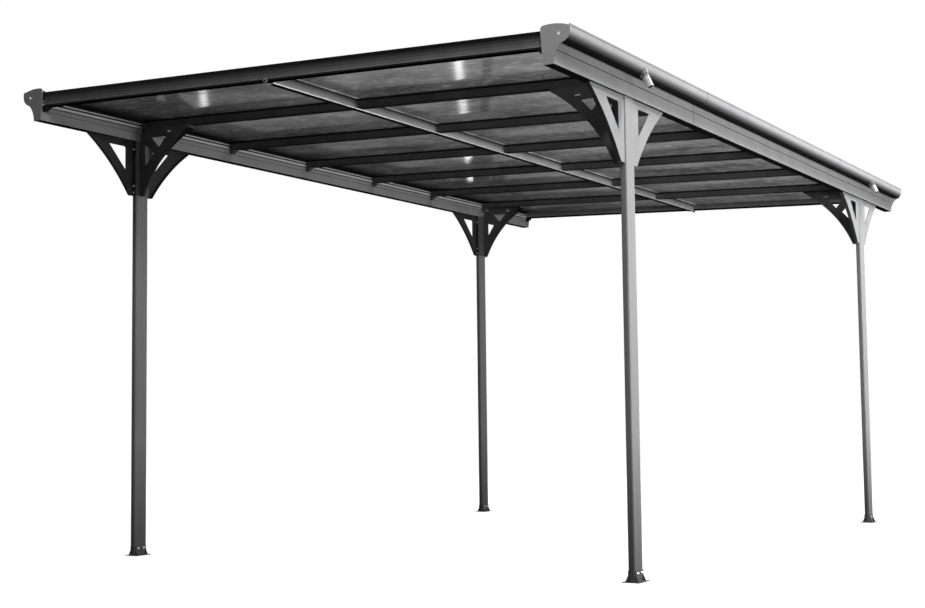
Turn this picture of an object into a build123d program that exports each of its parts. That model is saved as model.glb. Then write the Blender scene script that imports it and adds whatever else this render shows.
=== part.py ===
"""A flat-roofed, open carport of extruded aluminium with clear roof panels.

Millimetres, +Z up, +X to the low eaves, +Y from the front end to the rear end.
The origin is on the ground, at the middle of the carport.
"""
from build123d import *
import math
import os

# Layout of the whole carport
post_span_x = 2810.0
rafter_pitch = 714.0
bays_between_posts = 5
end_bay = 688.0
low_beam_height = 2056.0
roof_fall = 106.0

# Clearances between pieces that are bolted, slid or clipped together
seat_gap = 0.3
seam_gap = 0.4

# Posts: flat rounded tubes
post_thickness = 30.0
post_depth = 90.0
post_corner_radius = 9.0
post_wall = 2.0

# Feet: a base plate with two upright tabs and four small gussets
foot_plate_x = 80.0
foot_plate_y = 108.0
foot_plate_thickness = 3.0
foot_tab_length = 76.0
foot_tab_height = 46.0
foot_tab_thickness = 3.0
foot_gusset_height = 26.0
foot_gusset_reach = 13.0
anchor_hole_radius = 4.5
anchor_hole_spacing = 56.0

# Gutter beams: sizes out from the fascia and up from the underside
box_width = 46.0
box_height = 107.0
beam_wall = 2.5
trough_centre_out = 35.0
trough_centre_height = 121.0
trough_radius = 37.0
trough_wall = 2.0
crevice_height = 100.0
gutter_lip_height = 149.0
gutter_lip_width = 6.0
gutter_lip_thickness = 3.0
groove_width = 4.0
groove_depth = 5.0
fascia_groove_height = 59.0
inner_groove_height = 44.0
shoulder_foot = 65.0
shoulder_low = 70.0
shoulder_high = 81.0
shoulder_reach = 8.0
recess_reach = 3.0
ledge_low = 89.0
ledge_high = 95.0
ledge_reach = 10.0

# End caps: flat plates that cover the beam ends and stand above the panels
cap_thickness = 3.0
cap_flare_out = 15.0
cap_flare_height = 56.0
cap_cove_out = 36.0
cap_cove_height = 80.0
cap_round_angle = 40.0
cap_side_height = 142.0
cap_crown_height = 153.0
cap_inner_height = 156.0
cap_inner_reach = 12.0
cap_inner_foot = 126.0
cap_corner = 12.0

# Rafters: a tube below the panel slot and a clamping rib above it
rafter_seat = 68.0
rafter_width = 48.0
rafter_height = 68.0
rafter_tube_height = 42.0
rafter_wall = 2.5
rafter_web = 14.0
rafter_flange = 5.0
rafter_rib_width = 22.0
rafter_rib_radius = 6.0

# End rafters: the outer face is hollowed to a cove over a small foot bead
cove_depth = 12.0
cove_foot = 8.0
cove_bow = 5.0
foot_bead_reach = 3.0
foot_bead_height = 5.0

# Cleats: hooks under the rafter ends
cleat_width = 28.0
cleat_length = 22.0
cleat_foot_height = 46.0
cleat_nose = 7.0

# Roof panels
panel_thickness = 6.0
panel_edge_gap = 3.0
panel_overhang = 6.0

# Centre purlin
purlin_width = 28.0
purlin_wall = 2.5
purlin_drop = 8.0
purlin_bead_width = 36.0
purlin_bead_height = 7.0
purlin_bead_radius = 3.0
purlin_lip_width = 36.0
purlin_lip_thickness = 2.5

# Side braces: trays in line with the beam, one each side of a post
side_brace_reach = 330.0
side_brace_drop = 288.0
side_brace_tip = 6.0
side_brace_toe = 36.0
side_brace_inset = 5.0
side_brace_web = 3.0
side_brace_rim = 3.0
side_brace_bow = 19.0
side_slot_shares = ((0.17, -0.113), (0.53, -0.113), (0.17, -0.54))
side_slot_corner = 10.0

# Arch braces: trays across the carport, deep under the rafters and shallow at the posts
arch_reach = 340.0
arch_drop = 286.0
arch_toe = 34.0
arch_tip = 12.0
arch_bow = 38.0
arch_depth = 44.0
arch_shallow_depth = 10.0
arch_shallow_reach = 130.0
arch_plate = 2.5
arch_flange_width = 88.0
arch_post_slot_shares = ((0.121, -0.06), (0.291, -0.248), (0.126, -0.46))
arch_rafter_slot_shares = ((0.253, 0.055), (0.547, 0.042), (0.403, -0.147))
arch_slit_shares = (0.6, 0.127)
arch_slit_length = 28.0
arch_slit_height = 6.0
arch_notch_gap = 2.0

# Drain spouts on the outside of the low gutter
spout_place_angle = 50.0
spout_tilt = 24.0
spout_radius = 16.0
spout_bore_radius = 13.0
spout_length = 70.0
spout_back = 13.0
spout_collar_radius = 20.0
spout_collar_length = 23.0

# Places worked out from the sizes above
post_x = post_span_x / 2
post_y = rafter_pitch * bays_between_posts / 2
end_rafter_y = post_y + end_bay
beam_half_length = end_rafter_y + rafter_width / 2
seam_y = post_y - rafter_pitch
beam_inner_x = post_x - box_width / 2
fascia_x = post_x + box_width / 2
rafter_end_x = beam_inner_x - ledge_reach - seat_gap
roof_slope = roof_fall / (2 * beam_inner_x)
slope_length_share = math.hypot(1, roof_slope)
down_slope = (1, 0, -roof_slope)
panel_slot = panel_thickness + 2 * seat_gap
slot_top = rafter_tube_height + panel_slot
gutter_reach = trough_centre_out + trough_radius
beam_height = {1: low_beam_height, -1: low_beam_height + roof_fall}
rafter_ys = [-end_rafter_y]
rafter_ys += [-post_y + i * rafter_pitch for i in range(bays_between_posts + 1)]
rafter_ys += [end_rafter_y]
side_names = {-1: "left", 1: "right"}
end_names = {-1: "front", 1: "rear"}
low_middle = (Align.CENTER, Align.MIN)


def rafter_bottom(x):
    """Height of the underside of the rafters at a place across the carport."""
    return low_beam_height + rafter_seat + roof_slope * (beam_inner_x - x)


def chord_half(radius, offset_from_centre):
    """Half the width of a circle at a height above or below its centre."""
    return math.sqrt(radius ** 2 - offset_from_centre ** 2)


def finish(builder, label):
    """Label a finished piece and write it."""
    builder.part.label = label
    export_step(builder.part, f"parts/{label}.step")


def beam_plane(side, y_low, y_high):
    """Section plane of a beam: x points outward, y points up, extruding runs along the beam."""
    y_start = y_high if side > 0 else y_low
    origin = (side * fascia_x, y_start, beam_height[side])
    return Plane(origin, x_dir=(side, 0, 0), z_dir=(0, -side, 0))


def spout_plane(side, y):
    """Plane on the gutter's round, looking out along a spout."""
    place = math.radians(spout_place_angle)
    tilt = math.radians(spout_tilt)
    x = side * (fascia_x + trough_centre_out + trough_radius * math.sin(place))
    z = beam_height[side] + trough_centre_height - trough_radius * math.cos(place)
    return Plane((x, y, z), x_dir=(0, 1, 0), z_dir=(side * math.sin(tilt), 0, -math.cos(tilt)))


def beam_outline():
    """Outline of a gutter beam: box with a ledged inner face, and the open trough outside it."""
    trough_inside = trough_radius - trough_wall
    wall_out = gutter_reach - trough_wall
    trough_bottom = trough_centre_height - trough_radius
    crevice_half = chord_half(trough_radius, trough_centre_height - crevice_height)
    shelf_half = chord_half(trough_inside, trough_centre_height - box_height)
    with BuildLine() as outline:
        Polyline(
            (-box_width, 0),
            (0, 0),
            (0, crevice_height),
            (trough_centre_out - crevice_half, crevice_height),
        )
        ThreePointArc(
            (trough_centre_out - crevice_half, crevice_height),
            (trough_centre_out, trough_bottom),
            (gutter_reach, trough_centre_height),
        )
        Polyline(
            (gutter_reach, trough_centre_height),
            (gutter_reach, gutter_lip_height),
            (gutter_reach - gutter_lip_width, gutter_lip_height),
            (gutter_reach - gutter_lip_width, gutter_lip_height - gutter_lip_thickness),
            (wall_out, gutter_lip_height - gutter_lip_thickness),
            (wall_out, trough_centre_height),
        )
        ThreePointArc(
            (wall_out, trough_centre_height),
            (trough_centre_out, trough_bottom + trough_wall),
            (trough_centre_out - shelf_half, box_height),
        )
        Polyline(
            (trough_centre_out - shelf_half, box_height),
            (-box_width, box_height),
            (-box_width, ledge_high),
            (-box_width - ledge_reach, ledge_high),
            (-box_width - ledge_reach, ledge_low),
            (-box_width - recess_reach, ledge_low),
            (-box_width - recess_reach, shoulder_high),
            (-box_width - shoulder_reach, shoulder_high),
            (-box_width - shoulder_reach, shoulder_low),
            (-box_width, shoulder_foot),
            (-box_width, 0),
        )
    return outline.edges()


def make_beam(label, side, y_low, y_high, spout_y=None):
    """One length of gutter beam, grooved on both faces and drilled where a spout drains it."""
    channel_depth = groove_depth + beam_wall
    channel_width = groove_width + 2 * beam_wall
    with BuildPart() as beam:
        with BuildSketch(beam_plane(side, y_low, y_high)):
            make_face(beam_outline())
            with Locations((-box_width / 2, beam_wall)):
                Rectangle(
                    box_width - 2 * beam_wall,
                    box_height - 2 * beam_wall,
                    align=low_middle,
                    mode=Mode.SUBTRACT,
                )
            with Locations((0, fascia_groove_height)):
                Rectangle(channel_depth, channel_width, align=(Align.MAX, Align.CENTER))
            with Locations((-box_width, inner_groove_height)):
                Rectangle(channel_depth, channel_width, align=(Align.MIN, Align.CENTER))
            with Locations((0, fascia_groove_height), (-box_width, inner_groove_height)):
                Rectangle(2 * groove_depth, groove_width, mode=Mode.SUBTRACT)
        extrude(amount=y_high - y_low)
        if spout_y is not None:
            with BuildSketch(spout_plane(side, spout_y)):
                Circle(spout_bore_radius)
            extrude(amount=2 * spout_bore_radius, both=True, mode=Mode.SUBTRACT)
    finish(beam, label)


def make_cap(label, side, end):
    """Flat end plate of a beam, with an ogee edge outside and a rounded corner inside."""
    inner_out = -box_width - cap_inner_reach
    round_angle = math.radians(cap_round_angle)
    y_low = min(end * beam_half_length, end * (beam_half_length + cap_thickness))
    with BuildPart() as cap:
        with BuildSketch(beam_plane(side, y_low, y_low + cap_thickness)):
            with BuildLine():
                Line((-box_width, 0), (0, 0))
                flare = TangentArc((0, 0), (cap_flare_out, cap_flare_height), tangent=(0, 1))
                TangentArc(flare @ 1, (cap_cove_out, cap_cove_height), tangent=flare % 1)
                ThreePointArc(
                    (cap_cove_out, cap_cove_height),
                    (
                        trough_centre_out + trough_radius * math.cos(round_angle),
                        trough_centre_height - trough_radius * math.sin(round_angle),
                    ),
                    (gutter_reach, trough_centre_height),
                )
                Line((gutter_reach, trough_centre_height), (gutter_reach, cap_side_height))
                crown = ThreePointArc(
                    (gutter_reach, cap_side_height),
                    (trough_centre_out, cap_crown_height),
                    (inner_out + cap_corner, cap_inner_height),
                )
                TangentArc(crown @ 1, (inner_out, cap_inner_height - cap_corner), tangent=crown % 1)
                Polyline(
                    (inner_out, cap_inner_height - cap_corner),
                    (inner_out, cap_inner_foot),
                    (-box_width - shoulder_reach, shoulder_low),
                    (-box_width, 0),
                )
            make_face()
        extrude(amount=cap_thickness)
    finish(cap, label)


def make_spout(label, side, y):
    """Drain pipe with a collar, saddled on the gutter's round."""
    inside = spout_plane(side, y).offset(-spout_back)
    trough_axis = Plane(
        (side * (fascia_x + trough_centre_out), y, beam_height[side] + trough_centre_height),
        x_dir=(1, 0, 0),
        z_dir=(0, 1, 0),
    )
    with BuildPart() as spout:
        with BuildSketch(inside):
            Circle(spout_radius)
        extrude(amount=spout_back + spout_length)
        with BuildSketch(inside):
            Circle(spout_collar_radius)
        extrude(amount=spout_collar_length)
        with BuildSketch(trough_axis):
            Circle(trough_radius + seat_gap)
        extrude(amount=2 * spout_collar_radius, both=True, mode=Mode.SUBTRACT)
        with BuildSketch(inside):
            Circle(spout_bore_radius)
        extrude(amount=spout_back + spout_length, mode=Mode.SUBTRACT)
    finish(spout, label)


def make_post(label, side, end):
    """Flat tube from the foot plate to the underside of the beam."""
    with BuildPart() as post:
        with BuildSketch(Plane((side * post_x, end * post_y, foot_plate_thickness))):
            RectangleRounded(post_thickness, post_depth, post_corner_radius)
            RectangleRounded(
                post_thickness - 2 * post_wall,
                post_depth - 2 * post_wall,
                post_corner_radius - post_wall,
                mode=Mode.SUBTRACT,
            )
        extrude(amount=beam_height[side] - foot_plate_thickness)
    finish(post, label)


def make_foot(label, side, end):
    """Base plate with tabs either side of the post, each braced by two gussets."""
    tab_inside = post_thickness / 2 + seat_gap
    tab_outside = tab_inside + foot_tab_thickness
    gusset_offset = (foot_tab_length - foot_tab_thickness) / 2
    with BuildPart() as foot:
        with BuildSketch(Plane((side * post_x, end * post_y, 0))):
            Rectangle(foot_plate_x, foot_plate_y)
            with GridLocations(anchor_hole_spacing, 0, 2, 1):
                Circle(anchor_hole_radius, mode=Mode.SUBTRACT)
        extrude(amount=foot_plate_thickness)
        with BuildSketch(Plane((side * post_x, end * post_y, foot_plate_thickness))):
            with GridLocations(tab_inside + tab_outside, 0, 2, 1):
                Rectangle(foot_tab_thickness, foot_tab_length)
        extrude(amount=foot_tab_height)
        for way in (-1, 1):
            for gusset_y in (-gusset_offset, gusset_offset):
                corner = (
                    side * post_x + way * tab_outside,
                    end * post_y + gusset_y,
                    foot_plate_thickness,
                )
                with BuildSketch(Plane(corner, x_dir=(way, 0, 0), z_dir=(0, -way, 0))):
                    with BuildLine():
                        Polyline((0, 0), (foot_gusset_reach, 0), (0, foot_gusset_height), close=True)
                    make_face()
                extrude(amount=foot_tab_thickness / 2, both=True)
    finish(foot, label)


def slot_outline(shares, reach, drop):
    """Three-cornered cut-out, in shares of a brace's two legs."""
    with BuildLine() as outline:
        Polyline(*[(out * reach, up * drop) for out, up in shares], close=True)
    return outline.edges()


def side_brace_outline():
    """Leg along the beam, leg down the post and a hollow long edge."""
    with BuildLine() as outline:
        Polyline(
            (side_brace_toe, -side_brace_drop),
            (0, -side_brace_drop),
            (0, 0),
            (side_brace_reach, 0),
            (side_brace_reach, -side_brace_tip),
        )
        SagittaArc(
            (side_brace_toe, -side_brace_drop),
            (side_brace_reach, -side_brace_tip),
            side_brace_bow,
        )
    return outline.edges()


def make_side_braces(label, side, end):
    """Pair of trays that stiffen a post along the beam, open towards the inside."""
    depth = post_thickness - 2 * side_brace_inset
    with BuildPart() as braces:
        for way in (-1, 1):
            inward = -side * way
            corner = (
                side * (post_x + depth / 2),
                end * post_y + way * (post_depth / 2 + seat_gap),
                beam_height[side] - seat_gap,
            )
            outer = Plane(corner, x_dir=(0, way, 0), z_dir=(way, 0, 0))
            with BuildSketch(outer):
                make_face(side_brace_outline())
            extrude(amount=inward * depth)
            with BuildSketch(outer.offset(inward * side_brace_web)):
                make_face(side_brace_outline())
                offset(amount=-side_brace_rim, mode=Mode.REPLACE)
            extrude(amount=inward * depth, mode=Mode.SUBTRACT)
            with BuildSketch(outer) as slot:
                make_face(slot_outline(side_slot_shares, side_brace_reach, side_brace_drop))
                fillet(slot.vertices().sort_by_distance((0, 0))[0], side_slot_corner)
            extrude(amount=inward * side_brace_web, mode=Mode.SUBTRACT)
    finish(braces, label)


def arch_outline(side):
    """Outline of an arch brace, stepped round the beam and cleat, hollow along its lower edge."""
    post_face_x = side * (post_x - post_thickness / 2 - seat_gap)
    beam_out = (box_width - post_thickness) / 2
    notch_out = beam_out + ledge_reach + cleat_length + arch_notch_gap
    notch_height = cleat_foot_height - arch_notch_gap
    notch_x = post_face_x - side * notch_out
    notch_top = rafter_bottom(notch_x) - seat_gap - beam_height[side]
    tip_x = post_face_x - side * arch_reach
    top = rafter_bottom(tip_x) - seat_gap - beam_height[side]
    with BuildLine() as outline:
        Polyline(
            (arch_toe, -arch_drop),
            (0, -arch_drop),
            (0, -seat_gap),
            (beam_out, -seat_gap),
            (beam_out, notch_height),
            (notch_out, notch_height),
            (notch_out, notch_top),
            (arch_reach, top),
            (arch_reach, top - arch_tip),
        )
        SagittaArc((arch_toe, -arch_drop), (arch_reach, top - arch_tip), arch_bow)
    return outline.edges()


def make_arch_brace(label, side, end):
    """Flange on a post and a tray out to the rafter, with two cut-outs and a slit in its web."""
    post_face_x = side * (post_x - post_thickness / 2 - seat_gap)
    web_y = end * (post_y + rafter_width / 2)
    slit_out, slit_up = arch_slit_shares
    inward = -side * end
    outer = Plane((post_face_x, web_y, beam_height[side]), x_dir=(-side, 0, 0), z_dir=(0, side, 0))
    below = Plane(
        (post_face_x, web_y, beam_height[side] - arch_drop),
        x_dir=(-side, 0, 0),
        z_dir=(0, 0, -inward),
    )
    with BuildPart() as brace:
        with BuildSketch(outer):
            make_face(arch_outline(side))
        extrude(amount=inward * arch_depth)
        with BuildSketch(outer.offset(inward * arch_plate)):
            make_face(arch_outline(side))
            offset(amount=-arch_plate, mode=Mode.REPLACE)
        extrude(amount=inward * arch_depth, mode=Mode.SUBTRACT)
        with BuildSketch(outer):
            make_face(slot_outline(arch_post_slot_shares, arch_reach, arch_drop))
            make_face(slot_outline(arch_rafter_slot_shares, arch_reach, arch_drop))
            with Locations((slit_out * arch_reach, slit_up * arch_drop)):
                Rectangle(arch_slit_length, arch_slit_height)
        extrude(amount=inward * arch_plate, mode=Mode.SUBTRACT)
        with BuildSketch(below):
            with BuildLine():
                Polyline(
                    (-arch_plate, arch_shallow_depth),
                    (arch_shallow_reach, arch_shallow_depth),
                    (arch_reach, arch_depth),
                    (-arch_plate, arch_depth + arch_plate),
                    close=True,
                )
            make_face()
        extrude(amount=-inward * 2 * arch_drop, mode=Mode.SUBTRACT)
        flange_x = post_face_x - side * arch_plate / 2
        with BuildSketch(Plane((flange_x, end * post_y, beam_height[side] - arch_drop))):
            Rectangle(arch_plate, arch_flange_width)
        extrude(amount=arch_drop - seat_gap)
    finish(brace, label)


def add_cleat(side, y):
    """Hook under a rafter's end that clips below the shoulder of the beam."""
    hook_x = beam_inner_x - seat_gap
    back_out = ledge_reach + cleat_length
    end_low = rafter_bottom(side * (hook_x - ledge_reach)) - beam_height[side]
    back_low = rafter_bottom(side * (hook_x - back_out)) - beam_height[side]
    corner = (side * hook_x, y, beam_height[side])
    with BuildSketch(Plane(corner, x_dir=(-side, 0, 0), z_dir=(0, side, 0))) as hook:
        with BuildLine():
            Polyline(
                (0, cleat_foot_height),
                (ledge_reach, cleat_foot_height),
                (back_out, back_low - cleat_nose),
                (back_out, back_low + rafter_wall),
                (ledge_reach, end_low + rafter_wall),
                (ledge_reach, shoulder_foot - seat_gap),
                (0, shoulder_foot - seat_gap),
                close=True,
            )
        make_face()
    extrude(hook.sketch, amount=cleat_width / 2, both=True)


def make_rafter(label, y):
    """Rafter from beam to beam: slotted on both sides, and cut away below for the purlin."""
    x = -rafter_end_x
    purlin_notch = purlin_width + 2 * seat_gap
    notch_low = rafter_bottom(0) - purlin_drop
    with BuildPart() as rafter:
        start = Plane((x, y, rafter_bottom(x)), x_dir=(0, 1, 0), z_dir=(1, 0, 0))
        with BuildSketch(start) as section:
            Rectangle(rafter_width, rafter_tube_height, align=low_middle)
            with Locations((0, rafter_wall)):
                Rectangle(
                    rafter_width - 2 * rafter_wall,
                    rafter_tube_height - 2 * rafter_wall,
                    align=low_middle,
                    mode=Mode.SUBTRACT,
                )
            with Locations((0, rafter_tube_height)):
                Rectangle(rafter_web, panel_slot, align=low_middle)
            with Locations((0, slot_top)):
                Rectangle(rafter_width, rafter_flange, align=low_middle)
                Rectangle(rafter_rib_width, rafter_height - slot_top, align=low_middle)
            fillet(section.vertices().group_by(Axis.Y)[-1], rafter_rib_radius)
        extrude(amount=2 * rafter_end_x * slope_length_share, dir=down_slope)
        with BuildSketch(Plane((0, y, notch_low))):
            Rectangle(purlin_notch, rafter_width)
        extrude(amount=purlin_drop + rafter_tube_height, mode=Mode.SUBTRACT)
        for side in (-1, 1):
            add_cleat(side, y)
    finish(rafter, label)


def make_end_rafter(label, end):
    """Rafter that closes an end of the roof: slotted inside, a cove outside."""
    x = -rafter_end_x
    half = rafter_width / 2
    face = half - cove_depth
    with BuildPart() as rafter:
        section = Plane((x, end * end_rafter_y, rafter_bottom(x)), x_dir=(0, 1, 0), z_dir=(1, 0, 0))
        with BuildSketch(section):
            with BuildLine():
                Polyline(
                    (end * face, cove_foot),
                    (end * (face + foot_bead_reach), foot_bead_height),
                    (end * (face + foot_bead_reach), 0),
                    (-end * half, 0),
                    (-end * half, rafter_tube_height),
                    (-end * rafter_web / 2, rafter_tube_height),
                    (-end * rafter_web / 2, slot_top),
                    (-end * half, slot_top),
                    (-end * half, slot_top + rafter_flange),
                    (-end * rafter_rib_width / 2, slot_top + rafter_flange),
                    (-end * rafter_rib_width / 2, rafter_height),
                    (end * half, rafter_height),
                    (end * half, rafter_height - rafter_flange),
                )
                SagittaArc(
                    (end * half, rafter_height - rafter_flange),
                    (end * face, cove_foot),
                    -end * cove_bow,
                )
            make_face()
            with Locations((end * (face - half) / 2, rafter_wall)):
                Rectangle(
                    face + half - 4 * rafter_wall,
                    rafter_tube_height - 2 * rafter_wall,
                    align=low_middle,
                    mode=Mode.SUBTRACT,
                )
        extrude(amount=2 * rafter_end_x * slope_length_share, dir=down_slope)
        for side in (-1, 1):
            add_cleat(side, end * end_rafter_y)
    finish(rafter, label)


def make_purlin(label):
    """Tube down the middle of the roof, beaded below and lipped under each panel."""
    half_length = end_rafter_y - rafter_width / 2 - seat_gap
    bottom = rafter_bottom(0) - purlin_drop
    tilt_drop = roof_slope * purlin_lip_width / 2
    height = purlin_drop + rafter_tube_height - tilt_drop
    lip_reach = (purlin_lip_width - purlin_width) / 2 + purlin_wall
    with BuildPart() as purlin:
        with BuildSketch(Plane((0, half_length, bottom), x_dir=(1, 0, 0), z_dir=(0, -1, 0))):
            Rectangle(purlin_width, height, align=low_middle)
            RectangleRounded(purlin_bead_width, purlin_bead_height, purlin_bead_radius, align=low_middle)
            with Locations((0, purlin_wall)):
                Rectangle(
                    purlin_width - 2 * purlin_wall,
                    height - 2 * purlin_wall,
                    align=low_middle,
                    mode=Mode.SUBTRACT,
                )
        extrude(amount=2 * half_length)
        for y_before, y_after in zip(rafter_ys, rafter_ys[1:]):
            lip_length = y_after - y_before - rafter_width - 2 * seat_gap
            lip_low = bottom + height - purlin_lip_thickness
            with BuildSketch(Plane((0, (y_before + y_after) / 2, lip_low))):
                with GridLocations(purlin_lip_width - lip_reach, 0, 2, 1):
                    Rectangle(lip_reach, lip_length)
            extrude(amount=purlin_lip_thickness)
    finish(purlin, label)


def make_panel(label, y_before, y_after):
    """Flat roof panel held in the slots of two rafters."""
    width = y_after - y_before - rafter_web - 2 * panel_edge_gap
    x = -fascia_x - panel_overhang
    bottom = rafter_bottom(x) + rafter_tube_height + seat_gap
    middle_y = (y_before + y_after) / 2
    with BuildPart() as panel:
        with BuildSketch(Plane((x, middle_y, bottom), x_dir=(0, 1, 0), z_dir=(1, 0, 0))):
            Rectangle(width, panel_thickness, align=low_middle)
        extrude(amount=-2 * x * slope_length_share, dir=down_slope)
    finish(panel, label)


os.makedirs("parts", exist_ok=True)

for side, side_name in side_names.items():
    front_spout = -post_y if side > 0 else None
    rear_spout = post_y if side > 0 else None
    front_seam = -seam_y - seam_gap / 2
    rear_seam = seam_y + seam_gap / 2
    make_beam(f"beam_{side_name}_front", side, -beam_half_length, front_seam, front_spout)
    make_beam(f"beam_{side_name}_middle", side, front_seam + seam_gap, rear_seam - seam_gap)
    make_beam(f"beam_{side_name}_rear", side, rear_seam, beam_half_length, rear_spout)
    for end, end_name in end_names.items():
        corner_name = f"{side_name}_{end_name}"
        make_post(f"post_{corner_name}", side, end)
        make_foot(f"foot_{corner_name}", side, end)
        make_side_braces(f"side_braces_{corner_name}", side, end)
        make_arch_brace(f"arch_brace_{corner_name}", side, end)
        make_cap(f"end_cap_{corner_name}", side, end)

for end, end_name in end_names.items():
    make_spout(f"spout_{end_name}", 1, end * post_y)
    make_end_rafter(f"rafter_{end_name}", end)

for number, y in enumerate(rafter_ys[1:-1], start=2):
    make_rafter(f"rafter_{number}", y)

make_purlin("centre_purlin")

for number, (y_before, y_after) in enumerate(zip(rafter_ys, rafter_ys[1:]), start=1):
    make_panel(f"roof_panel_{number}", y_before, y_after)
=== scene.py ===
import math

import bmesh
import bpy
from mathutils import Matrix, Quaternion, Vector


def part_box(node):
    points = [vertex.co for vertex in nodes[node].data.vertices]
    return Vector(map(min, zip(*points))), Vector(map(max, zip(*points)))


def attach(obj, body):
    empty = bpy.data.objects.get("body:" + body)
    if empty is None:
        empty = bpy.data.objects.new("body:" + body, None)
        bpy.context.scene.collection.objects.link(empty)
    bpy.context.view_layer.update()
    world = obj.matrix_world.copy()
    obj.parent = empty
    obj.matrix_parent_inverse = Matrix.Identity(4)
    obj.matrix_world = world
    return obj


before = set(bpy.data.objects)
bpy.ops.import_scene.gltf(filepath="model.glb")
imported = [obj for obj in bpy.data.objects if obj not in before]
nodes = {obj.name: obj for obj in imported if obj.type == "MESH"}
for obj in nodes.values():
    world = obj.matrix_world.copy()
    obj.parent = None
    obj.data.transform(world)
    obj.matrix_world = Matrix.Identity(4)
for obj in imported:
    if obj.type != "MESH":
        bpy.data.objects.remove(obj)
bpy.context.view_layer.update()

# Sides and ends of the carport, with the way that each lies from the middle
SIDES = (("left", -1), ("right", 1))
ENDS = (("front", -1), ("rear", 1))

# Camera, fitted to the photograph: metres, degrees and pixels of a 925 by 608 image
IMAGE_WIDTH_PX = 925
FOCAL_PX = 1440.9
SENSOR_WIDTH_MM = 36.0
CAMERA_PLACE = Vector((3.9345, -7.3898, 0.7077))
CAMERA_YAW = math.radians(30.943)
CAMERA_PITCH = math.radians(4.382)
CAMERA_ROLL = math.radians(-0.673)

# Sizes here and below are in metres. Screws: a washer, and a hexagon head with a chamfer
WASHER_SIDES = 24
WASHER_RADIUS = 0.0058
WASHER_HEIGHT = 0.0012
HEAD_SIDES = 6
HEAD_RADIUS = 0.0044
HEAD_HEIGHT = 0.0045
HEAD_CHAMFER = 0.001

# Foot screws: out from the post's middle, up from the ground, and apart
TAB_OUTER = 0.0183
TAB_SCREW_HEIGHT = 0.038
TAB_SCREW_SPACING = 0.04

# Brace screws: out from the post's face, and down from its top
BRACE_RIM = 0.0033
BRACE_SCREW_DROPS = (0.04, 0.235, 0.27)

# Cap screws: out from the fascia, which is out from the post's middle, and up from the post's top
FASCIA_OUT = 0.023
CAP_SCREW_OUT = 0.022
CAP_SCREW_UP = 0.115

# Bands over the beam joints, and the beam's outline out from its fascia and up from its underside
JOINT_WIDTH = 0.003
JOINT_PROUD = 0.0004
JOINT_STEPS = 16
FASCIA_TOP = 0.1
TROUGH_OUT = 0.035
TROUGH_UP = 0.121
TROUGH_RADIUS = 0.037
GUTTER_TOP = 0.149

# Plugs on the ends of the purlin: size, and place in from the end rafter's outside
PLUG_SIDES = 32
PLUG_RADIUS = 0.012
PLUG_CHAMFER = 0.0015
PLUG_HEIGHT = 0.003
PLUG_INSET = 0.0088

# Seals between the end rafters and the caps: gap, size, and heights up from the beam's underside
SEAL_GAP = 0.0006
SEAL_WIDTH = 0.016
SEAL_LENGTH = 0.028
SEAL_FOOT = 0.1076
SEAL_TOP = 0.148
SEAL_CHAMFER_SHARE = 0.125

# Roof: its fall from beam to beam, and the rafters' underside at the middle
ROOF_FALL = 0.106
BEAM_TO_BEAM = 2.764
ROOF_SLOPE = ROOF_FALL / BEAM_TO_BEAM
RAFTER_FOOT = 2.177
RAFTER_HEIGHT = 0.068

# Greys, each a dark and a light shade that a noise runs between
FRAME_SHADES = ((0.4, 0.4, 0.405), (0.46, 0.46, 0.465))
POST_SHADES = ((0.36, 0.36, 0.365), (0.43, 0.43, 0.435))
# Side braces' inward faces: painted shade
BRACE_INWARD_PAINTED_SHADES = ((0.06, 0.06, 0.06), (0.085, 0.085, 0.085))
BRACE_OUTSIDE_SHADES = ((0.37, 0.37, 0.375), (0.42, 0.42, 0.425))
# Arch braces: a darker grey, painted shade for braces that sit under the roof
ARCH_PAINTED_SHADE_GREYS = ((0.18, 0.18, 0.18), (0.23, 0.23, 0.23))
CAP_SHADES = ((0.66, 0.66, 0.665), (0.71, 0.71, 0.715))
FOOT_SHADES = ((0.05, 0.05, 0.05), (0.16, 0.16, 0.16))
STEEL_SHADES = ((0.65, 0.65, 0.65), (0.75, 0.75, 0.75))
RUBBER_SHADES = ((0.03, 0.03, 0.03), (0.05, 0.05, 0.05))
# Rafters: the frame's grey darkened by painted shade, as they sit under the roof
RAFTER_PAINTED_SHADE_GREYS = ((0.14, 0.14, 0.142), (0.18, 0.18, 0.182))
WEB_SHADES = ((0.5, 0.5, 0.505), (0.57, 0.57, 0.575))
BEAD_SHADES = ((0.88, 0.88, 0.88), (0.95, 0.95, 0.95))
SPOUT_SHADES = ((0.7, 0.7, 0.7), (0.8, 0.8, 0.8))
HAZE_SHADES = ((0.05, 0.05, 0.051), (0.11, 0.11, 0.112))
SPECK_SHADES = ((0.0, 0.0, 0.0), (0.1, 0.1, 0.1))
GLINT_SHADES = ((0.04, 0.04, 0.04), (0.09, 0.09, 0.09))
FLOOR_SHADES = ((0.24, 0.24, 0.24), (0.26, 0.26, 0.26))
FLOOR_DULL = (0.05, 0.05, 0.05, 1.0)
WHITE = (1.0, 1.0, 1.0, 1.0)

# Places of a mix node's two colours among its inputs, and of their mix among its outputs
MIX_FIRST = 6
MIX_SECOND = 7
MIX_RESULT = 2

# Noise: the part of its range that is used, its detail, and how evenly it runs along the axes
NOISE_SPAN = (0.3, 0.7)
NOISE_DETAIL = 4.0
EVEN = (1.0, 1.0, 1.0)
PATCH_SCALE = 9.0

# Coats: how much the roughness varies, and the fine bump
ROUGHNESS_CHANGE = 0.05
BUMP_SCALE = 900.0
BUMP_DETAIL = 2.0
BUMP_STRENGTH = 0.06
BUMP_DEPTH = 0.0004

# Painted shade on undersides: the upward part of a face's direction where it is full, and where it
# ends
COAT_BELOW = (-0.85, 0.0)
RAFTER_BELOW = (-0.95, -0.8)
PURLIN_BELOW = (-0.9, -0.5)

# Height up to which the posts have painted shade, darker towards the ground
GROUND_SHADE_HEIGHT = 0.6
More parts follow.
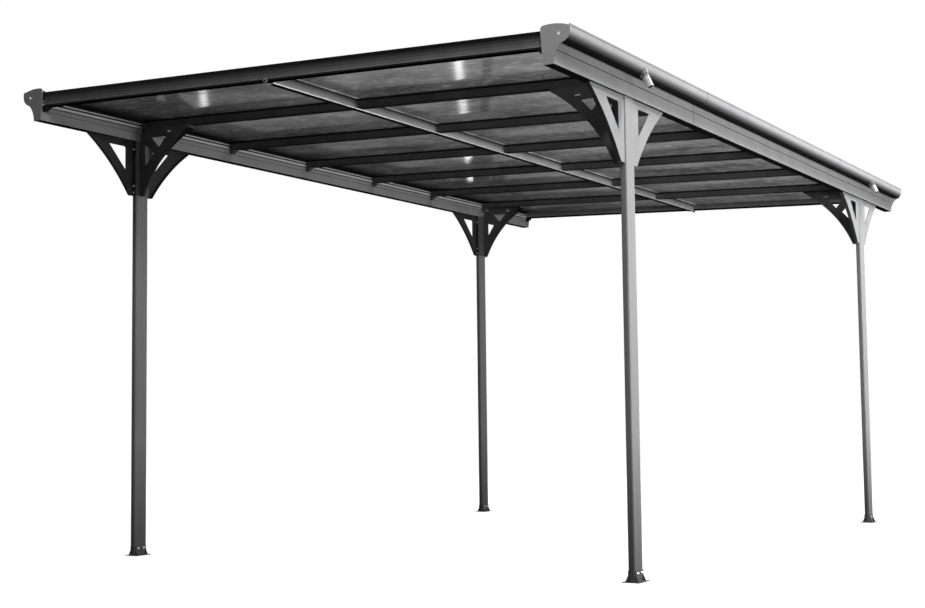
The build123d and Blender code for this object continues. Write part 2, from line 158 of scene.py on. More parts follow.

# Beams: painted shade round the gutter's rim, painted highlight on the ledge, painted shade in the
# recess and seat and on the shoulder's slope
RIM_HEIGHT = 0.1415
RIM_HALF = 0.0022
RIM_PAINTED_SHADE = 0.4
LEDGE_FROM_MIDDLE = 1.3815
LEDGE_PAINTED_HIGHLIGHT = 2.1
RECESS_FROM_MIDDLE = 1.379
RECESS_HALF = 0.0006
RECESS_PAINTED_SHADE = 0.06
INSIDE_FROM_MIDDLE = 1.3835
SEAT_HEIGHT = 0.0955
SHOULDER_LOW = 0.0705
SLOPE_PAINTED_SHADE = 0.45

# Rafters: bands of painted shade and painted highlight, each with its top, from the underside up
RAFTER_ROUGHNESS = 0.5
RAFTER_SHEEN = 0.05
BAND_BLUR = 0.002
# Inner rafters: a band of painted shade high on the face
RAFTER_PAINTED_BANDS = ((0.031, 1.0), (0.052, 0.15), (RAFTER_HEIGHT, 1.0))
RAFTER_PAINTED_UNDERSIDE = 0.6
# End rafters: dark at the foot and the top, a painted highlight line low down, and painted shade that
# deepens up the face
END_RAFTER_PAINTED_BANDS = (
    (0.008, 0.1),
    (0.013, 2.6),
    (0.028, 1.7),
    (0.042, 1.2),
    (0.052, 0.6),
    (RAFTER_HEIGHT, 0.1),
)
END_RAFTER_PAINTED_UNDERSIDE = 0.08

# Purlin: a bright bead along the bottom, and a web with painted shade that darkens it up to the
# panels
PURLIN_ROUGHNESS = 0.4
PURLIN_SHEEN = 0.05
PURLIN_PAINTED_UNDERSIDE = 0.06
BEAD_HEIGHT = 0.01
BEAD_FULL_SHARE = 0.9
BEAD_SCALE = 30.0
WEB_PLAIN_SHARE = 0.1
WEB_TOP_PAINTED_SHADE = 0.02

# Side braces: the outward part of a face's direction where the pale coat starts over the painted
# shade of inward faces, and where it is full
BRACE_ROUGHNESS = 0.55
BRACE_SHEEN = 0.05
BRACE_SCALE = 12.0
BRACE_OUTWARD = (0.6, 0.9)

# Spouts: where they leave the gutter, in from its outside and up from the beam's underside
SPOUT_IN = 0.0087
SPOUT_UP = 0.0972
SPOUT_AXIS = (0.4067, 0.0, -0.9135)
SPOUT_ROUGHNESS = 0.25
SPOUT_SHEEN = 0.5
SPOUT_SCALE = 40.0
SADDLE_LENGTH = 0.022
SADDLE_SHADE = 0.3
# Spouts: painted shade in the bore, out to its radius
BORE_RADIUS = 0.0125
BORE_PAINTED_SHADE = 0.02

# Roof panels: clouds and specks in the sheet, and its dim mirror
CLOUD_NOISE = {"scale": 2.6, "detail": 8.0, "stretch": (0.8, 1.6, 1.0)}
SPECK_NOISE = {"scale": 24.0, "detail": 10.0, "stretch": (0.7, 1.3, 1.0)}
SPECK_SPAN = (0.5, 0.8)
MIRROR_ROUGHNESS = 0.085

# Roof panels: lighter to the low side, painted shade beside the high beam, and a painted highlight
# line beside the purlin
LOW_SIDE_GAIN = (0.7, 1.55)
LOW_SIDE_ACROSS = (-1.4, 1.4)
EDGE_PAINTED_SHADE = 0.1
EDGE_ACROSS = (-1.36, -1.18)
LINE_FROM_MIDDLE = 0.026
LINE_HALF = 0.008
LINE_PAINTED_HIGHLIGHT = 2.6

# Roof panels: how clear they are to the eye, and share of the lamps' light that passes each face
CLEAR_NOISE = {"scale": 5.0, "detail": 8.0}
CLEAR_SHARES = (0.015, 0.07)
PANEL_LIGHT_SHARE = 0.3

# Floor: its size, grain and glow, which grows between two distances from the middle
FLOOR_HALF = 40.0
FLOOR_SCALE = 0.6
FLOOR_GLOW = (0.95, 1.0)
FLOOR_GLOW_REACH = (2.5, 8.0)

# Light: the world's strength, and each lamp's name, place, target, size and power in watts
WORLD_STRENGTH = 0.03
LAMPS = (
    ("key", (5.6, 2.4, 8.8), (0.0, 0.0, 1.6), (2.0, 2.0), 1150.0),
    ("front", (3.0, -4.8, 4.2), (0.4, -2.5, 2.1), (1.0, 1.0), 50.0),
    ("back", (-4.5, 6.5, 3.6), (0.0, 0.0, 1.6), (3.0, 3.0), 350.0),
    ("side", (3.2, 0.2, 1.5), (1.4, 0.2, 1.8), (5.2, 0.5), 48.0),
)

# Strip lamps, which the panels mirror as bright streaks
STRIP_PLACES = ((-3.48, 5.0, 1.35), (-6.96, 5.0, 1.1))
STRIP_TARGET = (-0.5, 0.0, 2.2)
STRIP_SIZE = (0.075, 3.0)
STRIP_LEAN = math.radians(9.6)
STRIP_POWER = 8.5


def new_tree(name):
    """A material and its node tree, which is empty."""
    material = bpy.data.materials.new(name)
    material.use_nodes = True
    material.node_tree.nodes.clear()
    return material, material.node_tree


def add_node(tree, kind, inputs=None, **settings):
    """A node with its settings, where an input is a constant or the output of another node."""
    node = tree.nodes.new(kind)
    for key, value in settings.items():
        setattr(node, key, value)
    for key, value in (inputs or {}).items():
        if isinstance(value, bpy.types.NodeSocket):
            tree.links.new(value, node.inputs[key])
        else:
            node.inputs[key].default_value = value
    return node


def number(tree, operation, *values):
    """The result of a sum on numbers, each a constant or the output of another node."""
    node = add_node(tree, "ShaderNodeMath", dict(enumerate(values)), operation=operation)
    return node.outputs["Value"]


def vector(tree, operation, *values, output="Vector"):
    """The result of a sum on vectors, each a constant or the output of another node."""
    node = add_node(tree, "ShaderNodeVectorMath", dict(enumerate(values)), operation=operation)
    return node.outputs[output]


def grain(tree, scale, detail=NOISE_DETAIL, stretch=EVEN):
    """Noise in the object's own coordinates, stretched along the axes."""
    place = add_node(tree, "ShaderNodeTexCoord")
    mapping = add_node(
        tree, "ShaderNodeMapping", {"Vector": place.outputs["Object"], "Scale": stretch}
    )
    noise = add_node(
        tree,
        "ShaderNodeTexNoise",
        {"Vector": mapping.outputs["Vector"], "Scale": scale, "Detail": detail},
    )
    return noise.outputs["Fac"]


def spread(tree, factor, low, high, start, end):
    """The factor, from start to end, mapped to a range from low to high."""
    limits = {"From Min": start, "From Max": end, "To Min": low, "To Max": high}
    node = add_node(tree, "ShaderNodeMapRange", {"Value": factor, **limits})
    return node.outputs["Result"]


def switched(tree, mask, off, on):
    """One value where the mask is nought, and another where it is one."""
    return spread(tree, mask, off, on, 0.0, 1.0)


def shade(tree, factor, shades, span=NOISE_SPAN):
    """A grey between two shades, by the factor."""
    ramp = add_node(tree, "ShaderNodeValToRGB", {"Fac": factor})
    for stop, place, colour in zip(ramp.color_ramp.elements, span, shades):
        stop.position = place
        stop.color = (*colour, 1.0)
    return ramp.outputs["Color"]


def part_of(tree, output_name, axis):
    """One part of the place, or of the direction that a surface faces."""
    geometry = add_node(tree, "ShaderNodeNewGeometry")
    parts = add_node(tree, "ShaderNodeSeparateXYZ", {"Vector": geometry.outputs[output_name]})
    return parts.outputs[axis]


def from_middle(tree):
    """Distance across from the middle of the carport."""
    return number(tree, "ABSOLUTE", part_of(tree, "Position", "X"))


def toned(tree, colour, factor):
    """The colour times a factor."""
    inputs = {"Vector": colour, "Scale": factor}
    node = add_node(tree, "ShaderNodeVectorMath", inputs, operation="SCALE")
    return node.outputs["Vector"]


def blended(tree, factor, first, second):
    """The first colour, which gives way to the second as the factor goes to one."""
    inputs = {"Factor": factor, MIX_FIRST: first, MIX_SECOND: second}
    return add_node(tree, "ShaderNodeMix", inputs, data_type="RGBA").outputs[MIX_RESULT]


def mixed(tree, factor, first, second):
    """The first shader, which gives way to the second as the factor goes to one."""
    node = add_node(tree, "ShaderNodeMixShader", {0: factor, 1: first, 2: second})
    return node.outputs["Shader"]


def added(tree, first, second):
    """Two shaders together."""
    return add_node(tree, "ShaderNodeAddShader", {0: first, 1: second}).outputs["Shader"]


def show_coat(tree, **inputs):
    """Join a coat to the material's output, its inputs written with _ for a space."""
    names = {name.replace("_", " "): value for name, value in inputs.items()}
    surface = add_node(tree, "ShaderNodeBsdfPrincipled", names)
    add_node(tree, "ShaderNodeOutputMaterial", {"Surface": surface.outputs["BSDF"]})


def shoulder_slope(tree, beam_low):
    """Painted shade of the slope under a beam's inner shoulder, and nought elsewhere."""
    inside = number(tree, "LESS_THAN", from_middle(tree), LEDGE_FROM_MIDDLE)
    height = part_of(tree, "Position", "Z")
    under = number(tree, "LESS_THAN", height, beam_low + SHOULDER_LOW)
    return switched(tree, number(tree, "MULTIPLY", inside, under), 0.0, SLOPE_PAINTED_SHADE)


def painted_beam_lines(tree, beam_low):
    """Masks of a beam's painted lines, each with its factor: painted shade at the rim line, recess
    and seat, and a painted highlight on the ledge.
    """
    height = part_of(tree, "Position", "Z")
    across = from_middle(tree)
    rim = number(tree, "COMPARE", height, beam_low + RIM_HEIGHT, RIM_HALF)
    ledge = number(tree, "LESS_THAN", across, LEDGE_FROM_MIDDLE)
    recess = number(tree, "COMPARE", across, RECESS_FROM_MIDDLE, RECESS_HALF)
    inside = number(tree, "LESS_THAN", across, INSIDE_FROM_MIDDLE)
    above = number(tree, "GREATER_THAN", height, beam_low + SEAT_HEIGHT)
    seat = number(tree, "MULTIPLY", inside, above)
    return (rim, RIM_PAINTED_SHADE), (ledge, LEDGE_PAINTED_HIGHLIGHT), (recess, RECESS_PAINTED_SHADE), (seat, RECESS_PAINTED_SHADE)


def coated(
    name,
    shades,
    roughness,
    sheen,
    stretch=EVEN,
    scale=PATCH_SCALE,
    metallic=0.0,
    painted_underside_shade=None,
    ground_painted_shade=None,
    beam_low=None,
):
    """A satin coating in faint patches, where asked with painted shade below and near the ground, and
    a beam's painted lines.
    """
    material, tree = new_tree(name)
    patches = grain(tree, scale, stretch=stretch)
    colour = shade(tree, patches, shades)
    rough_span = (roughness - ROUGHNESS_CHANGE, roughness + ROUGHNESS_CHANGE)
    # Painted shade on faces that look down
    if painted_underside_shade:
        facing_up = part_of(tree, "Normal", "Z")
        below = spread(tree, facing_up, painted_underside_shade, 1.0, *COAT_BELOW)
        if beam_low:
            below = number(tree, "MAXIMUM", below, shoulder_slope(tree, beam_low))
        colour = toned(tree, colour, below)
        sheen = spread(tree, facing_up, 0.0, sheen, *COAT_BELOW)
    # Painted shade on the posts, darker towards the ground
    if ground_painted_shade:
        height = part_of(tree, "Position", "Z")
        colour = toned(tree, colour, spread(tree, height, ground_painted_shade, 1.0, 0.0, GROUND_SHADE_HEIGHT))
    # Painted shade and painted highlight lines on a beam
    if beam_low:
        for mask, painted_light_factor in painted_beam_lines(tree, beam_low):
            colour = toned(tree, colour, switched(tree, mask, 1.0, painted_light_factor))
    bump = add_node(
        tree,
        "ShaderNodeBump",
        {
            "Strength": BUMP_STRENGTH,
            "Distance": BUMP_DEPTH,
            "Height": grain(tree, BUMP_SCALE, BUMP_DETAIL),
        },
    )
    show_coat(
        tree,
        Base_Color=colour,
        Metallic=metallic,
        Roughness=spread(tree, patches, *rough_span, *NOISE_SPAN),
        Specular_IOR_Level=sheen,
        Normal=bump.outputs["Normal"],
    )
    return material


def banded(name, bands, painted_underside_shade):
    """Rafter coating with bands of painted shade and highlight up its height, each with its top and
    its shade, and painted shade below.
    """
    material, tree = new_tree(name)
    fall = number(tree, "MULTIPLY", part_of(tree, "Position", "X"), ROOF_SLOPE)
    level = number(tree, "ADD", fall, part_of(tree, "Position", "Z"))
    up = spread(tree, level, 0.0, 1.0, RAFTER_FOOT, RAFTER_FOOT + RAFTER_HEIGHT)
    # Painted shade and highlight bands up the rafter's height
    ramp = add_node(tree, "ShaderNodeValToRGB", {"Fac": up})
    stops = ramp.color_ramp.elements
    tops, shades = zip(*bands)
    for stop, value in zip(stops, (shades[0], shades[-1])):
        stop.color = (value, value, value, 1.0)
    for top, below, above in zip(tops, shades, shades[1:]):
        for place, value in ((top, below), (top + BAND_BLUR, above)):
            stops.new(place / RAFTER_HEIGHT).color = (value, value, value, 1.0)
    patches = shade(tree, grain(tree, PATCH_SCALE), RAFTER_PAINTED_SHADE_GREYS)
    colour = vector(tree, "MULTIPLY", patches, ramp.outputs["Color"])
    # Painted shade on the rafters' undersides
    facing_up = part_of(tree, "Normal", "Z")
    show_coat(
        tree,
        Base_Color=toned(tree, colour, spread(tree, facing_up, painted_underside_shade, 1.0, *RAFTER_BELOW)),
        Roughness=RAFTER_ROUGHNESS,
        Specular_IOR_Level=spread(tree, facing_up, 0.0, RAFTER_SHEEN, *RAFTER_BELOW),
    )
    return material


def beaded(name, low, high):
    """Purlin coating: a bright bead along the bottom, and a web with painted shade that darkens it up
    to the panels.
    """
    material, tree = new_tree(name)
    height = part_of(tree, "Position", "Z")
    bead_top = low + BEAD_HEIGHT
    web_low = bead_top + WEB_PLAIN_SHARE * (high - low)
    patches = shade(tree, grain(tree, PATCH_SCALE), WEB_SHADES)
    # Painted shade on the web, darker up to the panels
    web = toned(tree, patches, spread(tree, height, 1.0, WEB_TOP_PAINTED_SHADE, web_low, high))
    shine = shade(tree, grain(tree, BEAD_SCALE), BEAD_SHADES)
    bead_full = low + BEAD_FULL_SHARE * BEAD_HEIGHT
    on_bead = spread(tree, height, 1.0, 0.0, bead_full, bead_top)
    # Painted shade on the purlin's underside, which has no metal or sheen there
    beside = spread(tree, part_of(tree, "Normal", "Z"), 0.0, 1.0, *PURLIN_BELOW)
    colour = blended(tree, on_bead, web, shine)
    show_coat(
        tree,
        Base_Color=toned(tree, colour, switched(tree, beside, PURLIN_PAINTED_UNDERSIDE, 1.0)),
        Metallic=number(tree, "MULTIPLY", on_bead, beside),
        Roughness=PURLIN_ROUGHNESS,
        Specular_IOR_Level=switched(tree, beside, 0.0, PURLIN_SHEEN),
    )
    return material


def brace_painted_shade(name):
    """Braces: a pale coat on the faces that look out from the carport, and painted shade on the faces
    that look in.
    """
    material, tree = new_tree(name)
    side = number(tree, "SIGN", part_of(tree, "Position", "X"))
    outward = number(tree, "MULTIPLY", side, part_of(tree, "Normal", "X"))
    patches = grain(tree, BRACE_SCALE)
    show_coat(
        tree,
        # Painted shade on faces that look in, the pale coat on faces that look out
        Base_Color=blended(
            tree,
            spread(tree, outward, 0.0, 1.0, *BRACE_OUTWARD),
            shade(tree, patches, BRACE_INWARD_PAINTED_SHADES),
            shade(tree, patches, BRACE_OUTSIDE_SHADES),
        ),
        Roughness=BRACE_ROUGHNESS,
        Specular_IOR_Level=BRACE_SHEEN,
    )
    return material


def piped(name, start):
    """Spout: a glossy pale pipe that runs from the start, with painted shade in its bore and a dull
    saddle.
    """
    material, tree = new_tree(name)
    geometry = add_node(tree, "ShaderNodeNewGeometry")
    mirrored = vector(tree, "ABSOLUTE", geometry.outputs["Position"])
    away = vector(tree, "SUBTRACT", mirrored, start)
    along = vector(tree, "DOT_PRODUCT", away, SPOUT_AXIS, output="Value")
    across = vector(tree, "CROSS_PRODUCT", away, SPOUT_AXIS)
    radius = vector(tree, "LENGTH", across, output="Value")
    pale = shade(tree, grain(tree, SPOUT_SCALE), SPOUT_SHADES)
    saddle_end = SADDLE_LENGTH + BAND_BLUR
    saddle = spread(tree, along, SADDLE_SHADE, 1.0, SADDLE_LENGTH, saddle_end)
    # Painted shade in the bore
    bore = spread(tree, radius, BORE_PAINTED_SHADE, 1.0, BORE_RADIUS, BORE_RADIUS + BAND_BLUR)
    show_coat(
        tree,
        Base_Color=toned(tree, toned(tree, pale, saddle), bore),
        Roughness=SPOUT_ROUGHNESS,
        Specular_IOR_Level=spread(tree, bore, 0.0, SPOUT_SHEEN, BORE_PAINTED_SHADE, 1.0),
    )
    return material


def panel_haze(tree, clouds):
    """Colour of the haze and specks in a roof panel, lighter to its low side, with painted shade
    beside the high beam and a painted highlight line beside the purlin.
    """
    haze = shade(tree, clouds, HAZE_SHADES)
    specks = shade(tree, grain(tree, **SPECK_NOISE), SPECK_SHADES, SPECK_SPAN)
    across = part_of(tree, "Position", "X")
    # Haze and specks, lighter to the low side
    haze_and_specks = toned(
        tree,
        vector(tree, "ADD", haze, specks),
        spread(tree, across, *LOW_SIDE_GAIN, *LOW_SIDE_ACROSS),
    )
    # Painted shade beside the high beam
    edge = spread(tree, across, EDGE_PAINTED_SHADE, 1.0, *EDGE_ACROSS)
    # Painted highlight line on the panels' underside beside the purlin
    beside = number(tree, "COMPARE", from_middle(tree), LINE_FROM_MIDDLE, LINE_HALF)
    below = number(tree, "LESS_THAN", part_of(tree, "Normal", "Z"), 0.0)
    line = switched(tree, number(tree, "MULTIPLY", beside, below), 1.0, LINE_PAINTED_HIGHLIGHT)
    return toned(tree, toned(tree, haze_and_specks, edge), line), edge


def clear_sheet(name):
    """Smoky clear sheet: dark inside, a dim mirror on its face, and some sky seen through it."""
    material, tree = new_tree(name)
    clouds = grain(tree, **CLOUD_NOISE)
    haze_and_specks, edge = panel_haze(tree, clouds)
    body = add_node(tree, "ShaderNodeBsdfTranslucent", {"Color": haze_and_specks})
    # The painted shade beside the high beam dims the mirror too
    glint = toned(tree, shade(tree, clouds, GLINT_SHADES), edge)
    mirror = add_node(
        tree, "ShaderNodeBsdfGlossy", {"Color": glint, "Roughness": MIRROR_ROUGHNESS}
    )
    face = added(tree, body.outputs["BSDF"], mirror.outputs["BSDF"])
    path = add_node(tree, "ShaderNodeLightPath")
    passed = number(tree, "MULTIPLY", path.outputs["Is Shadow Ray"], PANEL_LIGHT_SHARE)
    seen_through = spread(tree, grain(tree, **CLEAR_NOISE), *CLEAR_SHARES, *NOISE_SPAN)
    through = add_node(tree, "ShaderNodeBsdfTransparent")
    clear = number(tree, "MAXIMUM", passed, seen_through)
    sheet = mixed(tree, clear, face, through.outputs["BSDF"])
    add_node(tree, "ShaderNodeOutputMaterial", {"Surface": sheet})
    return material


def seen_rays(tree):
    """One on rays from the camera, mirrors and clear things, and nought on bounced light."""
    path = add_node(tree, "ShaderNodeLightPath")
    straight = number(tree, "MAXIMUM", path.outputs["Is Camera Ray"], path.outputs["Is Glossy Ray"])
    return number(tree, "MAXIMUM", straight, path.outputs["Is Transmission Ray"])


def pale_floor(name):
    """White to the camera and to reflections, with the shadow kept, and dull to bounced light."""
    material, tree = new_tree(name)
    pale = shade(tree, grain(tree, FLOOR_SCALE), FLOOR_SHADES)
    lit = add_node(tree, "ShaderNodeBsdfDiffuse", {"Color": pale})
    geometry = add_node(tree, "ShaderNodeNewGeometry")
    away = vector(tree, "LENGTH", geometry.outputs["Position"], output="Value")
    strength = spread(tree, away, *FLOOR_GLOW, *FLOOR_GLOW_REACH)
    glow = add_node(tree, "ShaderNodeEmission", {"Color": WHITE, "Strength": strength})
    both = added(tree, lit.outputs["BSDF"], glow.outputs["Emission"])
    dull = add_node(tree, "ShaderNodeBsdfDiffuse", {"Color": FLOOR_DULL})
    floor = mixed(tree, seen_rays(tree), dull.outputs["BSDF"], both)
    add_node(tree, "ShaderNodeOutputMaterial", {"Surface": floor})
    return material


def dress(material, *prefixes):
    """Give a material to every CAD node whose name starts with one of the prefixes."""
    for name, node in nodes.items():
        if name.startswith(prefixes):
            node.data.materials.clear()
            node.data.materials.append(material)


def add_ring(mesh, sides, radius, height, place, axis):
    """Add a ring of points round an axis, at a height along it from the place."""
    turn = Vector((0, 0, 1)).rotation_difference(Vector(axis)).to_matrix().to_4x4()
    loop = []
    for step in range(sides):
        angle = 2 * math.pi * step / sides
        point = Vector((radius * math.cos(angle), radius * math.sin(angle), height))
        loop.append(mesh.verts.new(turn @ point + Vector(place)))
    return loop


def bridge(mesh, lower, upper):
    """Add the faces between two closed loops that have as many points."""
    count = len(lower)
    for step in range(count):
        after = (step + 1) % count
        mesh.faces.new((lower[step], lower[after], upper[after], upper[step]))


def add_screw(mesh, place, axis):
    """Add a hexagon-headed screw with a washer, standing out along the axis."""
    head_top = WASHER_HEIGHT + HEAD_HEIGHT
    rings = (
        (WASHER_SIDES, WASHER_RADIUS, 0.0),
        (WASHER_SIDES, WASHER_RADIUS, WASHER_HEIGHT),
        (HEAD_SIDES, HEAD_RADIUS, WASHER_HEIGHT),
        (HEAD_SIDES, HEAD_RADIUS, head_top - HEAD_CHAMFER),
        (HEAD_SIDES, HEAD_RADIUS - HEAD_CHAMFER, head_top),
    )
    loops = [add_ring(mesh, *ring, place, axis) for ring in rings]
    washer_foot, washer_top, head_foot, head_edge, head_face = loops
    bridge(mesh, washer_foot, washer_top)
    bridge(mesh, head_foot, head_edge)
    bridge(mesh, head_edge, head_face)
    mesh.faces.new(washer_top)
    mesh.faces.new(head_face)
    mesh.faces.new(reversed(washer_foot))


def add_plug(mesh, place, axis):
    """Add a round chamfered plug that stands out along the axis."""
    rings = (
        (PLUG_RADIUS, 0.0),
        (PLUG_RADIUS, PLUG_HEIGHT - PLUG_CHAMFER),
        (PLUG_RADIUS - PLUG_CHAMFER, PLUG_HEIGHT),
    )
    loops = [add_ring(mesh, PLUG_SIDES, *ring, place, axis) for ring in rings]
    for lower, upper in zip(loops, loops[1:]):
        bridge(mesh, lower, upper)
    mesh.faces.new(loops[-1])
    mesh.faces.new(reversed(loops[0]))


def add_seal(mesh, low, high):
    """Add a small block with chamfered long edges between two corners."""
    (x0, y0, z0), (x1, y1, z1) = low, high
    cut = SEAL_CHAMFER_SHARE * (z1 - z0)
    outline = (
        (y0 + cut, z0),
        (y1 - cut, z0),
        (y1, z0 + cut),
        (y1, z1 - cut),
        (y1 - cut, z1),
        (y0 + cut, z1),
        (y0, z1 - cut),
        (y0, z0 + cut),
    )
    near, far = ([mesh.verts.new((x, y, z)) for y, z in outline] for x in (x0, x1))
    bridge(mesh, near, far)
    mesh.faces.new(reversed(near))
    mesh.faces.new(far)


def joint_line(proud):
    """Outside of a beam's section, out and up from the foot of its fascia."""
    reach = TROUGH_RADIUS + proud
    start = math.asin((TROUGH_UP - FASCIA_TOP) / TROUGH_RADIUS)
    fascia = [(proud, JOINT_WIDTH), (proud, FASCIA_TOP - proud)]
    trough = []
    for step in range(JOINT_STEPS + 1):
        angle = math.pi + start + (math.pi - start) * step / JOINT_STEPS
        trough.append((TROUGH_OUT + reach * math.cos(angle), TROUGH_UP + reach * math.sin(angle)))
    return fascia, trough + [(TROUGH_OUT + reach, GUTTER_TOP)]


def add_joint(mesh, side, y, fascia_x, foot_z):
    """Add the thin bands that cover one joint of a beam, on its fascia and round its gutter."""
    near, far = y - JOINT_WIDTH / 2, y + JOINT_WIDTH / 2
    for outer, inner in zip(joint_line(JOINT_PROUD), joint_line(0.0)):
        rows = []
        for line, place in ((inner, near), (outer, near), (outer, far), (inner, far)):
            rows.append(
                [mesh.verts.new((fascia_x + side * out, place, foot_z + up)) for out, up in line]
            )
        for row, after in zip(rows, rows[1:]):
            for step in range(len(row) - 1):
                mesh.faces.new((row[step], row[step + 1], after[step + 1], after[step]))


def add_piece(name, mesh, material):
    """A piece from a finished mesh."""
    data = bpy.data.meshes.new(name)
    mesh.to_mesh(data)
    mesh.free()
    piece = bpy.data.objects.new(name, data)
    bpy.context.collection.objects.link(piece)
    piece.data.materials.append(material)
    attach(piece, "root")


def add_screws(name, places, material):
    """One piece made of like screws, each given by its place and axis."""
    mesh = bmesh.new()
    for place, axis in places:
        add_screw(mesh, place, axis)
    add_piece(name, mesh, material)


def add_lamp(name, place, target, size, power, lean=0.0):
    """A rectangular studio lamp aimed at a point, and turned about its aim by the lean."""
    data = bpy.data.lights.new(name, "AREA")
    data.shape = "RECTANGLE"
    data.size, data.size_y = size
    data.energy = power
    lamp = bpy.data.objects.new(name, data)
    bpy.context.collection.objects.link(lamp)
    lamp.location = place
    aim = (Vector(target) - Vector(place)).to_track_quat("-Z", "Y")
    lamp.rotation_euler = (aim @ Quaternion((0, 0, 1), lean)).to_euler()
    lamp.visible_camera = False


def add_camera():
    """The photograph's camera."""
    forward = Vector(
        (
            -math.sin(CAMERA_YAW) * math.cos(CAMERA_PITCH),
            math.cos(CAMERA_YAW) * math.cos(CAMERA_PITCH),
            math.sin(CAMERA_PITCH),
        )
    )
    level_right = Vector((math.cos(CAMERA_YAW), math.sin(CAMERA_YAW), 0))
    level_up = level_right.cross(forward)
    right = level_right * math.cos(CAMERA_ROLL) + level_up * math.sin(CAMERA_ROLL)
    up = level_up * math.cos(CAMERA_ROLL) - level_right * math.sin(CAMERA_ROLL)
    data = bpy.data.cameras.new("camera")
    data.sensor_fit = "HORIZONTAL"
    data.sensor_width = SENSOR_WIDTH_MM
    data.lens = FOCAL_PX / IMAGE_WIDTH_PX * SENSOR_WIDTH_MM
    camera = bpy.data.objects.new("camera", data)
    bpy.context.collection.objects.link(camera)
    matrix = Matrix((right, up, -forward)).transposed().to_4x4()
    matrix.translation = CAMERA_PLACE
    camera.matrix_world = matrix
    bpy.context.scene.camera = camera


def add_floor():
    """The studio floor."""
    data = bpy.data.meshes.new("floor")
    corners = [(-1, -1), (1, -1), (1, 1), (-1, 1)]
    data.from_pydata([(x * FLOOR_HALF, y * FLOOR_HALF, 0) for x, y in corners], [], [(0, 1, 2, 3)])
    floor = bpy.data.objects.new("floor", data)
    bpy.context.collection.objects.link(floor)
    data.materials.append(pale_floor("floor_pale"))


def set_world():
    """White behind the object, with a little even light on it."""
    world = bpy.data.worlds.new("studio")
    bpy.context.scene.world = world
    world.use_nodes = True
    tree = world.node_tree
    tree.nodes.clear()
    soft = add_node(tree, "ShaderNodeBackground", {"Color": WHITE, "Strength": WORLD_STRENGTH})
    white = add_node(tree, "ShaderNodeBackground", {"Color": WHITE, "Strength": 1.0})
    sky = mixed(tree, seen_rays(tree), soft.outputs["Background"], white.outputs["Background"])
    add_node(tree, "ShaderNodeOutputWorld", {"Surface": sky})


# Materials of the CAD nodes
for side_name, side in SIDES:
    beam_coat = coated(
        f"frame_coat_{side_name}",
        FRAME_SHADES,
        roughness=0.5,
        sheen=0.05,
        painted_underside_shade=0.05,
        beam_low=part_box(f"beam_{side_name}_middle")[0][2],
    )
    dress(beam_coat, f"beam_{side_name}_")
# Posts: painted shade that darkens them towards the ground
post_coat = coated(
    "post_coat",
    POST_SHADES,
    roughness=0.5,
    sheen=0.06,
    stretch=(9.0, 9.0, 0.12),
    scale=14.0,
    ground_painted_shade=0.4,
)
# Arch braces: darker grey as painted shade
arch_coat = coated("arch_brace_coat", ARCH_PAINTED_SHADE_GREYS, roughness=0.55, sheen=0.04, painted_underside_shade=0.12)
cap_coat = coated("cap_coat", CAP_SHADES, roughness=0.6, sheen=0.05, painted_underside_shade=0.06)
foot_coat = coated("foot_coat", FOOT_SHADES, roughness=0.5, sheen=0.2, scale=90.0)
spout_low, spout_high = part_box("spout_rear")
beam_low, beam_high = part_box("beam_right_middle")
spout_y = (spout_low[1] + spout_high[1]) / 2
spout_start = (beam_high[0] - SPOUT_IN, spout_y, beam_low[2] + SPOUT_UP)
purlin_low, purlin_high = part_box("centre_purlin")
dress(banded("rafter_coat", RAFTER_PAINTED_BANDS, RAFTER_PAINTED_UNDERSIDE), "rafter_")
end_rafter_coat = banded("end_rafter_coat", END_RAFTER_PAINTED_BANDS, END_RAFTER_PAINTED_UNDERSIDE)
dress(end_rafter_coat, "rafter_front", "rafter_rear")
dress(beaded("purlin_coat", purlin_low[2], purlin_high[2]), "centre_purlin")
dress(post_coat, "post_")
dress(brace_painted_shade("side_brace_coat"), "side_braces_")
dress(arch_coat, "arch_brace_")
dress(cap_coat, "end_cap_")
dress(foot_coat, "foot_")
dress(piped("spout_gloss", spout_start), "spout_")
dress(clear_sheet("panel_clear"), "roof_panel_")

# Materials of the pieces that are added here
screw_steel = coated(
    "screw_steel", STEEL_SHADES, roughness=0.3, sheen=0.5, scale=200.0, metallic=0.9
)
joint_rubber = coated("joint_rubber", RUBBER_SHADES, roughness=0.6, sheen=0.2, scale=60.0)

# Screws, worked out from the posts, braces and caps
foot_screws = []
brace_screws = []
cap_screws = []
for side_name, side in SIDES:
    for end_name, end in ENDS:
        low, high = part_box(f"post_{side_name}_{end_name}")
        middle = (Vector(low) + Vector(high)) / 2
        for way in (-1, 1):
            for along in (-TAB_SCREW_SPACING / 2, TAB_SCREW_SPACING / 2):
                place = (middle.x + way * TAB_OUTER, middle.y + along, TAB_SCREW_HEIGHT)
                foot_screws.append((place, (way, 0, 0)))
            face_y = high[1] if way > 0 else low[1]
            for drop in BRACE_SCREW_DROPS:
                place = (middle.x, face_y + way * BRACE_RIM, high[2] - drop)
                brace_screws.append((place, (0, way, 0)))
        cap_low, cap_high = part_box(f"end_cap_{side_name}_{end_name}")
        face_y = cap_low[1] if end < 0 else cap_high[1]
        screw_x = middle.x + side * (FASCIA_OUT + CAP_SCREW_OUT)
        cap_screws.append(((screw_x, face_y, high[2] + CAP_SCREW_UP), (0, end, 0)))
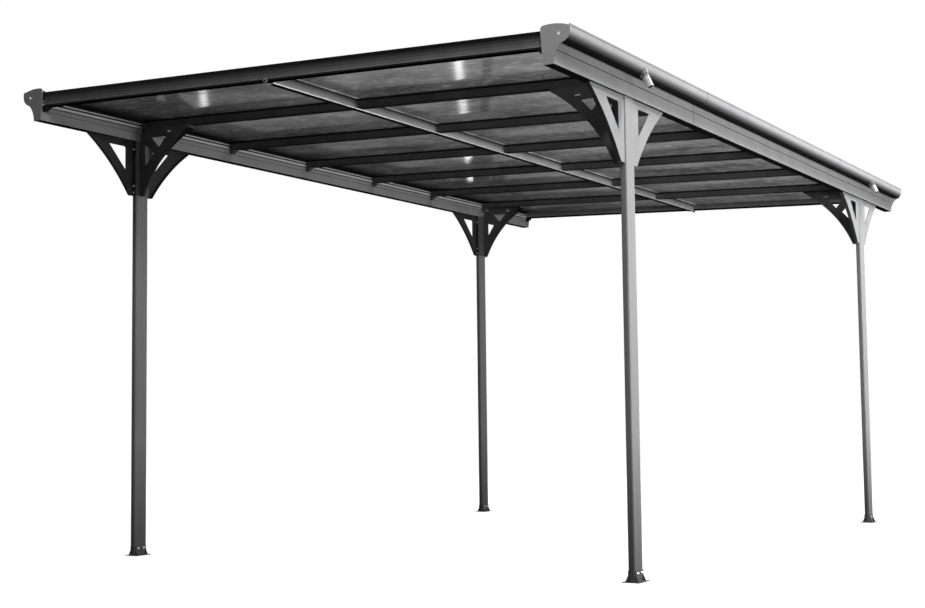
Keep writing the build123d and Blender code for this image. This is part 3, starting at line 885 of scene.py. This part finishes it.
add_screws("foot_screws", foot_screws, screw_steel)
add_screws("brace_screws", brace_screws, screw_steel)
add_screws("cap_screws", cap_screws, screw_steel)

# Bands over the beam joints
joints = bmesh.new()
for side_name, side in SIDES:
    low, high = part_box(f"beam_{side_name}_middle")
    post_low, post_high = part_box(f"post_{side_name}_front")
    fascia_x = (post_low[0] + post_high[0]) / 2 + side * FASCIA_OUT
    for y in (low[1], high[1]):
        add_joint(joints, side, y, fascia_x, low[2])
add_piece("beam_joint_bands", joints, joint_rubber)

# Plugs with a screw on the ends of the purlin
plugs = bmesh.new()
plug_screws = []
for end_name, end in ENDS:
    low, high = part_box(f"rafter_{end_name}")
    face_y = low[1] + PLUG_INSET if end < 0 else high[1] - PLUG_INSET
    add_plug(plugs, (0, face_y, RAFTER_FOOT), (0, end, 0))
    plug_screws.append(((0, face_y + end * PLUG_HEIGHT, RAFTER_FOOT), (0, end, 0)))
add_piece("purlin_plugs", plugs, cap_coat)

# Seals between the end rafters and the caps
seals = bmesh.new()
for side_name, side in SIDES:
    foot_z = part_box(f"beam_{side_name}_middle")[0][2]
    for end_name, end in ENDS:
        cap_low, cap_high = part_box(f"end_cap_{side_name}_{end_name}")
        near_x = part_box(f"rafter_{end_name}")[1][0] + SEAL_GAP
        cap_y = cap_high[1] if end < 0 else cap_low[1]
        sides = sorted((side * near_x, side * (near_x + SEAL_WIDTH)))
        ends = sorted((cap_y - end * SEAL_GAP, cap_y - end * (SEAL_GAP + SEAL_LENGTH)))
        heights = (foot_z + SEAL_FOOT, foot_z + SEAL_TOP)
        add_seal(seals, *zip(sides, ends, heights))
add_piece("rafter_end_seals", seals, joint_rubber)
add_screws("plug_screws", plug_screws, joint_rubber)

# Studio
add_floor()
set_world()
for lamp in LAMPS:
    add_lamp(*lamp)
for place in STRIP_PLACES:
    add_lamp("strip", place, STRIP_TARGET, STRIP_SIZE, STRIP_POWER, STRIP_LEAN)
add_camera()
bpy.context.scene.view_settings.view_transform = "Standard"
